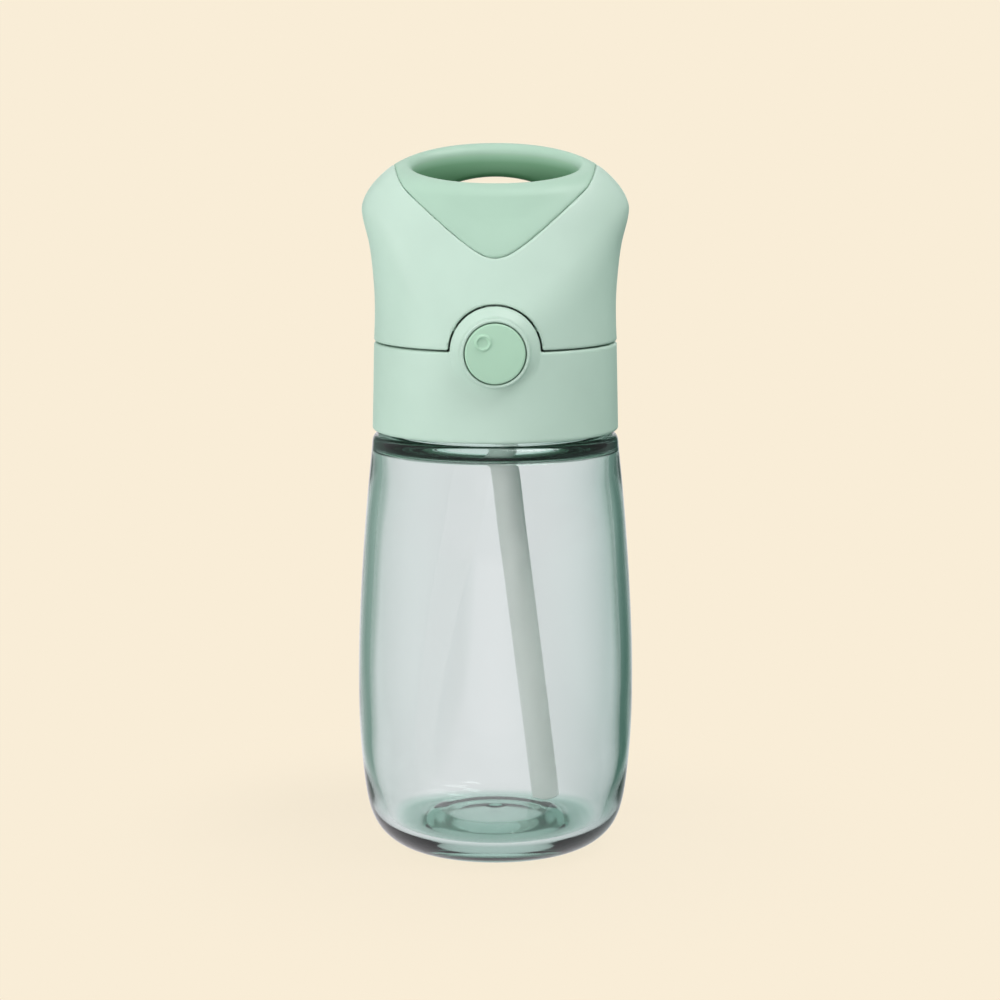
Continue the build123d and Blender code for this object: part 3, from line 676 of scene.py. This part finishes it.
# ------------------------------------------------------------------ push button
def button_solid(x, y, z):
    rho = np.sqrt(x * x + (z - 134.6) ** 2)
    face = -35.25 - 0.32 * np.clip(1 - (rho / 7.6) ** 2, 0, 1)
    s = both(rho - 7.6, face - y, 0.45)
    s = both(s, y + 32.4)
    s = less(s, both(rho - 5.8, -33.4 - y, 0.3))
    s = np.minimum(s, np.maximum(rho - 2.4, np.abs(y + 30.6) - 3.4))
    dot = np.sqrt((x + 3.0) ** 2 + (z - 137.4) ** 2)
    ringlet = np.sqrt((dot - 1.7) ** 2 + (y + 35.6) ** 2) - 0.33
    return join_soft(s, ringlet, 0.25)


button = mesh_of("push_button_moulded", button_solid, (-7.8, -36.2, 126.8), (7.8, -27, 142.4), H * 0.44)
finish_piece(button, "button", "push_button", button_mat)

# ------------------------------------------------------------------ springs
def wire(name, pts, r, seg=12):
    """Round wire along a run of points, with closed, slightly domed ends."""
    pts = np.asarray(pts, float)
    tan = np.gradient(pts, axis=0)
    tan /= np.linalg.norm(tan, axis=1)[:, None]
    u = np.cross(tan[0], [0.31, 0.52, 0.79])
    u /= np.linalg.norm(u)
    V, F = [], []
    t = np.arange(seg) * 2 * np.pi / seg
    for i in range(len(pts)):
        u = u - tan[i] * (u @ tan[i])
        u /= np.linalg.norm(u)
        v = np.cross(tan[i], u)
        V.extend(pts[i] + r * (np.cos(a) * u + np.sin(a) * v) for a in t)
    n = len(pts)
    for i in range(n - 1):
        for j in range(seg):
            k = (j + 1) % seg
            F.append((i * seg + j, i * seg + k, (i + 1) * seg + k, (i + 1) * seg + j))
    V.append(pts[0] - tan[0] * r * 0.4)
    V.append(pts[-1] + tan[-1] * r * 0.4)
    for j in range(seg):
        k = (j + 1) % seg
        F.append((n * seg, k, j))
        F.append((n * seg + 1, (n - 1) * seg + j, (n - 1) * seg + k))
    me = bpy.data.meshes.new(name)
    me.from_pydata((np.array(V) * 0.001).tolist(), [], F)
    bm = bmesh.new()
    bm.from_mesh(me)
    bmesh.ops.recalc_face_normals(bm, faces=bm.faces)
    bm.to_mesh(me)
    bm.free()
    me.polygons.foreach_set("use_smooth", np.ones(len(me.polygons), bool))
    o = bpy.data.objects.new(name, me)
    bpy.context.scene.collection.objects.link(o)
    return o


# compression spring behind the button, its end turns closed
turns = np.linspace(0, 7, 7 * 28 + 1)
rise = spline([0, 0.8, 1.4, 5.6, 6.2, 7], [0.0, 0.42, 1.0, 4.82, 5.4, 5.82])(turns)
btn_spring = wire("button_spring_wire", np.stack([2.1 * np.cos(turns * 2 * np.pi), -18.7 + rise,
                                                  134.6 + 2.1 * np.sin(turns * 2 * np.pi)], 1), 0.26)
finish_piece(btn_spring, "lid", "button_spring", MAT["steel"])
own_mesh(btn_spring)

# torsion spring round the hinge pin: the coil and lower leg stay with the lid, the upper leg turns with the cap
k = np.linspace(0, 1, 5 * 32 + 1)
coil = np.stack([-2.3 + 4.6 * k, HY - 1.78 * np.cos(k * 10 * np.pi), HZ + 1.78 * np.sin(k * 10 * np.pi)], 1)
low_leg = np.stack([np.full(16, 2.3), np.full(16, HY - 1.78), np.linspace(HZ - 0.4, HZ - 7.9, 16)], 1)
hinge_coil = wire("hinge_spring_coil", np.vstack([coil, low_leg]), 0.38)
finish_piece(hinge_coil, "lid", "hinge_spring", MAT["steel"])
up_leg = np.stack([np.full(14, -2.3), np.full(14, HY - 1.78), np.linspace(HZ + 0.1, HZ + 6.6, 14)], 1)
hinge_leg = wire("hinge_spring_leg", up_leg, 0.38)
finish_piece(hinge_leg, "cap", "hinge_spring", MAT["steel"])

# ------------------------------------------------------------------ mouthpiece
M_Y = spline([129, 131.2, 136, 143, 150.6], [2.0, 2.0, 1.5, 0.4, -1.2])
M_A = spline([129, 131.2, 136, 141, 146, 149, 150.6], [6.9, 6.7, 5.45, 4.75, 4.72, 5.2, 5.35])
M_B = spline([129, 131.2, 136, 141, 146, 150.6], [6.9, 6.7, 5.45, 4.65, 4.35, 4.2])


def spout(x, y, z):
    yy = y - M_Y(z)
    s = both(oval(x, yy, M_A(z), M_B(z), 2.0), z - 150.55, 0.9)
    s = both(s, 130.6 - z)
    r = np.sqrt(x * x + (y - 2.0) ** 2)
    s = join_soft(s, poly(r, z, [(0, 130.22), (8.7, 130.22), (8.95, 130.6), (8.6, 131.7), (0, 131.7)]), 1.0)
    s = np.minimum(s, poly(r, z, [(0, 121.7), (5.1, 121.7), (5.25, 122.4), (5.25, 130.4), (0, 130.4)]))
    s = less(s, np.maximum(r - 3.95, z - 127.4))
    bore = both(oval(x, yy, 2.3 + 0 * z, 2.1 + 0 * z, 2.0), 126.5 - z)
    return less(s, bore, 0.4)


mouth = mesh_of("mouthpiece_soft", spout, (-9.2, -7.4, 121.2), (9.2, 11.2, 151.0), H * 0.8)
finish_piece(mouth, "lid", "mouthpiece", MAT["silicone"])

# ------------------------------------------------------------------ clear vessel
def curve(pts, t0=None, t1=None, step=0.8):
    """Smooth run through points, by a parametric cubic spline in chord length."""
    p = np.asarray(pts, float)
    s = np.concatenate([[0], np.cumsum(np.hypot(*np.diff(p, axis=0).T))])
    q = p
    if t0 is not None:
        e = np.asarray(t0, float) / np.hypot(*t0) * 0.02
        q = np.vstack([q[:1], q[:1] + e, q[1:]])
        s = np.concatenate([s[:1], [0.02], s[1:]])
    if t1 is not None:
        e = np.asarray(t1, float) / np.hypot(*t1) * 0.02
        q = np.vstack([q[:-1], q[-1:] - e, q[-1:]])
        s = np.concatenate([s[:-1], [s[-1] - 0.02], s[-1:]])
    fx, fy = spline(s, q[:, 0]), spline(s, q[:, 1])
    t = np.linspace(0, s[-1], max(int(s[-1] / step), 3) + 1)
    return [(float(a), float(b)) for a, b in zip(fx(t), fy(t))]


def arc(c, r, a0, a1, n=8):
    return [(c[0] + r * math.cos(math.radians(a)), c[1] + r * math.sin(math.radians(a)))
            for a in np.linspace(a0, a1, n)]


def chain(*runs):
    out = []
    for r in runs:
        for p in r:
            if not out or math.hypot(p[0] - out[-1][0], p[1] - out[-1][1]) > 1e-4:
                out.append(p)
    return out


under = curve([(0, 3.3), (9, 3.0), (14.2, 1.6), (17.0, 0.02)], (1, 0), (0.95, -0.32))
wall_out = chain(
    curve([(21.5, 0.02), (26.2, 0.9), (29.4, 2.9), (32.05, 6.0), (33.85, 10.5), (35.2, 18.5), (36.2, 30),
           (36.5, 43), (36.3, 56), (35.55, 71), (34.5, 86), (33.22, 100), (32.45, 107.4)], (1, 0.02), (-0.1, 1)))
shoulder = curve([(32.45, 107.4), (32.3, 108.9), (31.65, 110.1), (30.3, 110.6)], (-0.05, 1), (-1, 0.05), 0.3)
neck_out = [(26.8, 110.6), (26.6, 110.8)] + [(26.6, z) for z in np.arange(111.2, 125.0, 0.3)] + [(26.6, 125.0)]
lip = arc((26.0, 125.0), 0.6, 0, 90, 5) + arc((24.7, 125.1), 0.5, 90, 180, 5)
neck_in = [(24.2, z) for z in np.arange(124.6, 108.3, -1.2)] + arc((25.7, 108.3), 1.5, 180, 270, 8)
shoulder_in = [(27.2, 106.8)] + arc((28.4, 105.3), 1.5, 90, 0, 8)
wall_in = curve([(29.9, 105.3), (30.35, 98), (31.6, 85), (32.6, 70.5), (33.35, 56), (33.6, 43), (33.3, 30.5),
                 (32.5, 19.5), (31.0, 12.2), (29.2, 8.0), (26.2, 5.7), (23.0, 4.75)], (0.08, -1), (-1, -0.05))
punt = curve([(23.0, 4.75), (20.0, 5.1), (16.6, 7.2), (13.4, 8.1)], (-1, -0.05), (-1, 0), 0.5)
gate = curve([(3.2, 8.1), (1.6, 7.75), (0, 7.5)], (-1, 0), (-1, 0), 0.3)
PROFILE = chain(under, wall_out, shoulder, neck_out, lip, neck_in, shoulder_in, wall_in, punt, [(8.0, 8.1)], gate)


def thread(i, r, z, t):
    if not (26.55 < r < 26.65 and 111 < z < 125):
        return 0 * t
    out = 0 * t
    for start in (20.0, 200.0):
        ang = (np.degrees(t) - start) % 360
        mid = 116.2 + 9.0 * ang / 360
        w = np.clip((np.minimum(ang, 165 - ang)) / 6.0, 0, 1) * (ang <= 165)
        h = np.clip((0.95 - np.abs(z - mid)) / 0.45, 0, 1)
        out = np.maximum(out, 1.35 * w * h)
    return out


vessel = lathe("vessel_clear", PROFILE, 256, smooth_angle=50, bump=thread)
finish_piece(vessel, "bottle", "bottle", MAT["vessel"])
vessel.visible_shadow = False

# ------------------------------------------------------------------ straw
path = []
for k in np.linspace(0, 1, 90):
    path.append(k)
p0, p1, p2 = np.array([0, 2.0, 127.2]), np.array([0, 2.0, 119.5]), np.array([14.2, 17.0, 6.6])


def straw_line(n=110):
    d1, d2 = (p1 - p0) / np.linalg.norm(p1 - p0), (p2 - p1) / np.linalg.norm(p2 - p1)
    cut = 3.7
    a, b = p1 - d1 * cut, p1 + d2 * cut
    pts = [p0 + (a - p0) * t for t in np.linspace(0, 1, 6)]
    pts += [(1 - t) ** 2 * a + 2 * t * (1 - t) * p1 + t * t * b for t in np.linspace(0, 1, 12)[1:]]
    pts += [b + (p2 - b) * t for t in np.linspace(0, 1, n)[1:]]
    return np.array(pts)


def tube(name, pts, ro, ri, seg=48):
    tan = np.gradient(pts, axis=0)
    tan /= np.linalg.norm(tan, axis=1)[:, None]
    u = np.cross(tan, np.array([0, 1.0, 0]))
    u /= np.linalg.norm(u, axis=1)[:, None]
    v = np.cross(tan, u)
    t = np.arange(seg) * 2 * np.pi / seg
    e = 0.25
    shape = [(ri + e, 0, 0), (ro - e, 0, 0), (ro, e, 0)]
    rows = [(0, ri + e, 0.0), (0, ro - e, 0.0), (0, ro, e)]
    rows += [(i, ro, 0.0) for i in range(1, len(pts) - 1)]
    rows += [(len(pts) - 1, ro, -e), (len(pts) - 1, ro - e, 0.0), (len(pts) - 1, ri + e, 0.0), (len(pts) - 1, ri, -e)]
    rows += [(i, ri, 0.0) for i in range(len(pts) - 2, 0, -1)]
    rows += [(0, ri, e)]
    V, F = [], []
    for i, r, off in rows:
        c = pts[i] + tan[i] * off
        V.extend((c + r * (np.cos(a) * u[i] + np.sin(a) * v[i])) for a in t)
    n = len(rows)
    for i in range(n):
        k = (i + 1) % n
        for j in range(seg):
            m = (j + 1) % seg
            F.append((i * seg + j, i * seg + m, k * seg + m, k * seg + j))
    me = bpy.data.meshes.new(name)
    me.from_pydata((np.array(V) * 0.001).tolist(), [], F)
    bm = bmesh.new()
    bm.from_mesh(me)
    bmesh.ops.recalc_face_normals(bm, faces=bm.faces)
    bm.to_mesh(me)
    bm.free()
    me.polygons.foreach_set("use_smooth", np.ones(len(me.polygons), bool))
    try:
        me.set_sharp_from_angle(angle=math.radians(50))
    except Exception:
        pass
    o = bpy.data.objects.new(name, me)
    bpy.context.scene.collection.objects.link(o)
    return o


straw = tube("straw_tube", straw_line(), 3.8, 2.7)
finish_piece(straw, "lid", "straw", straw_mat)

# ------------------------------------------------------------------ stage
CREAM = srgb(249, 237, 215)
GREY = srgb(239, 236, 239)


def sweep_stage():
    """Floor that curves up into a backdrop, far behind and in front of the object."""
    prof = [(-3.0, 0.0), (2.2, 0.0)] + [(2.2 + 1.2 * math.sin(t), 1.2 - 1.2 * math.cos(t))
                                        for t in np.linspace(0.1, math.pi / 2, 14)] + [(3.4, 4.0)]
    v, f = [], []
    for y, z in prof:
        v += [(-4.0, y, z), (4.0, y, z)]
    for i in range(len(prof) - 1):
        f.append((2 * i, 2 * i + 1, 2 * i + 3, 2 * i + 2))
    me = bpy.data.meshes.new("floor")
    me.from_pydata(v, [], f)
    me.polygons.foreach_set("use_smooth", [True] * len(me.polygons))
    o = bpy.data.objects.new("floor", me)
    bpy.context.scene.collection.objects.link(o)
    return o


floor = sweep_stage()
fm, nt, b, out = new_material("floor_pale")
nt.nodes.remove(b)
lp = nt.nodes.new("ShaderNodeLightPath")
geo = nt.nodes.new("ShaderNodeNewGeometry")
dist = nt.nodes.new("ShaderNodeVectorMath")
dist.operation = "LENGTH"
nt.links.new(geo.outputs["Position"], dist.inputs[0])
near = nt.nodes.new("ShaderNodeMapRange")
near.interpolation_type = "SMOOTHERSTEP"
near.inputs["From Min"].default_value = 0.03
near.inputs["From Max"].default_value = 0.13
near.inputs["To Min"].default_value = 0.16
near.inputs["To Max"].default_value = 0.0
nt.links.new(dist.outputs["Value"], near.inputs["Value"])
em_c = nt.nodes.new("ShaderNodeEmission")
em_c.inputs["Color"].default_value = CREAM
df_c = nt.nodes.new("ShaderNodeBsdfDiffuse")
df_c.inputs["Color"].default_value = (0.80, 0.72, 0.60, 1)
mix_c = nt.nodes.new("ShaderNodeMixShader")
nt.links.new(near.outputs["Result"], mix_c.inputs[0])
nt.links.new(em_c.outputs[0], mix_c.inputs[1])
nt.links.new(df_c.outputs[0], mix_c.inputs[2])
em_g = nt.nodes.new("ShaderNodeEmission")
px = nt.nodes.new("ShaderNodeSeparateXYZ")
nt.links.new(geo.outputs["Position"], px.inputs[0])


def calc(op, a, b=None, value=None):
    n = nt.nodes.new("ShaderNodeMath")
    n.operation = op
    nt.links.new(a, n.inputs[0])
    if b is not None:
        nt.links.new(b, n.inputs[1])
    if value is not None:
        n.inputs[1].default_value = value
    return n.outputs[0]


# what the clear plastic bends into view: bright behind, falling off to a dusky green at the sides
aside = calc("DIVIDE", px.outputs["X"], calc("ADD", calc("ABSOLUTE", px.outputs["Y"]), value=0.15))
fall = nt.nodes.new("ShaderNodeMapRange")
fall.inputs["From Min"].default_value = -1.2
fall.inputs["From Max"].default_value = 1.2
nt.links.new(aside, fall.inputs["Value"])
shade = nt.nodes.new("ShaderNodeValToRGB")
se = shade.color_ramp.elements
se[0].position, se[0].color = 0.0, (0.46, 0.58, 0.53, 1)
se[1].position, se[1].color = 1.0, (0.40, 0.54, 0.49, 1)
for pos, col in ((0.31, (0.22, 0.32, 0.28, 1)), (0.36, (0.36, 0.43, 0.40, 1)), (0.395, GREY), (0.525, GREY),
                 (0.60, (0.58, 0.62, 0.63, 1)), (0.625, (0.30, 0.39, 0.36, 1)), (0.645, (0.07, 0.15, 0.12, 1)),
                 (0.75, (0.12, 0.21, 0.18, 1))):
    se.new(pos).color = col
nt.links.new(fall.outputs["Result"], shade.inputs["Fac"])
nt.links.new(shade.outputs["Color"], em_g.inputs["Color"])
em_g.inputs["Strength"].default_value = 1.0
mix = nt.nodes.new("ShaderNodeMixShader")
nt.links.new(lp.outputs["Is Camera Ray"], mix.inputs[0])
nt.links.new(em_g.outputs[0], mix.inputs[1])
nt.links.new(mix_c.outputs[0], mix.inputs[2])
nt.links.new(mix.outputs[0], out.inputs["Surface"])
floor.data.materials.append(fm)

world = bpy.data.worlds.new("soft_studio")
bpy.context.scene.world = world
world.use_nodes = True
wn = world.node_tree
wn.nodes.clear()
wout = wn.nodes.new("ShaderNodeOutputWorld")
tc = wn.nodes.new("ShaderNodeTexCoord")
sep = wn.nodes.new("ShaderNodeSeparateXYZ")
wn.links.new(tc.outputs["Generated"], sep.inputs[0])
side = wn.nodes.new("ShaderNodeValToRGB")
mr = wn.nodes.new("ShaderNodeMapRange")
mr.inputs["From Min"].default_value = -1.0
mr.inputs["From Max"].default_value = 1.0
wn.links.new(sep.outputs["X"], mr.inputs["Value"])
wn.links.new(mr.outputs["Result"], side.inputs["Fac"])
e = side.color_ramp.elements
e[0].position, e[0].color = 0.0, (0.56, 0.62, 0.59, 1)
e[1].position, e[1].color = 1.0, (0.34, 0.40, 0.37, 1)
for pos, col in ((0.10, (0.62, 0.65, 0.65, 1)), (0.35, (0.74, 0.76, 0.77, 1)), (0.6, (0.62, 0.64, 0.65, 1)),
                 (0.86, (0.32, 0.35, 0.34, 1))):
    k = e.new(pos)
    k.color = col
bg_l = wn.nodes.new("ShaderNodeBackground")
wn.links.new(side.outputs["Color"], bg_l.inputs["Color"])
bg_l.inputs["Strength"].default_value = 0.75
bg_c = wn.nodes.new("ShaderNodeBackground")
bg_c.inputs["Color"].default_value = CREAM
wlp = wn.nodes.new("ShaderNodeLightPath")
wm = wn.nodes.new("ShaderNodeMixShader")
wn.links.new(wlp.outputs["Is Camera Ray"], wm.inputs[0])
wn.links.new(bg_l.outputs[0], wm.inputs[1])
wn.links.new(bg_c.outputs[0], wm.inputs[2])
wn.links.new(wm.outputs[0], wout.inputs["Surface"])


def area(name, loc, target, size, power, color=(1, 1, 1)):
    d = bpy.data.lights.new(name, "AREA")
    d.shape = "RECTANGLE"
    d.size, d.size_y = size
    d.energy = power
    d.color = color
    o = bpy.data.objects.new(name, d)
    o.location = loc
    o.rotation_euler = (Vector(target) - Vector(loc)).to_track_quat("-Z", "Y").to_euler()
    bpy.context.scene.collection.objects.link(o)
    return o


area("overhead", (0.36, -0.26, 0.85), (0, 0, 0.12), (0.5, 0.5), 4.5)
for lamp in (area("left", (-0.88, -0.36, 0.28), (0, 0, 0.12), (0.5, 0.6), 4.6),
             area("front_low", (-0.22, -1.15, 0.10), (0, 0, 0.12), (0.9, 0.4), 3.2),
             area("rim", (0.5, 0.75, 0.55), (0, 0, 0.13), (0.5, 0.5), 1.5)):
    lamp.visible_glossy = False
    lamp.visible_transmission = False

# ------------------------------------------------------------------ camera
cam_data = bpy.data.cameras.new("camera")
cam_data.sensor_width = 36.0
cam_data.lens = 93.6
cam_data.clip_start = 0.01
cam = bpy.data.objects.new("camera", cam_data)
bpy.context.scene.collection.objects.link(cam)
cam.location = (0.0012, -0.680, 0.200)
cam.rotation_euler = (math.radians(90 - 9.0), 0, 0)
bpy.context.scene.camera = cam
bpy.context.scene.cycles.max_bounces = 32
bpy.context.scene.cycles.transmission_bounces = 32
bpy.context.scene.cycles.transparent_max_bounces = 32

try:
    bpy.context.scene.view_settings.view_transform = "Standard"
except Exception:
    pass
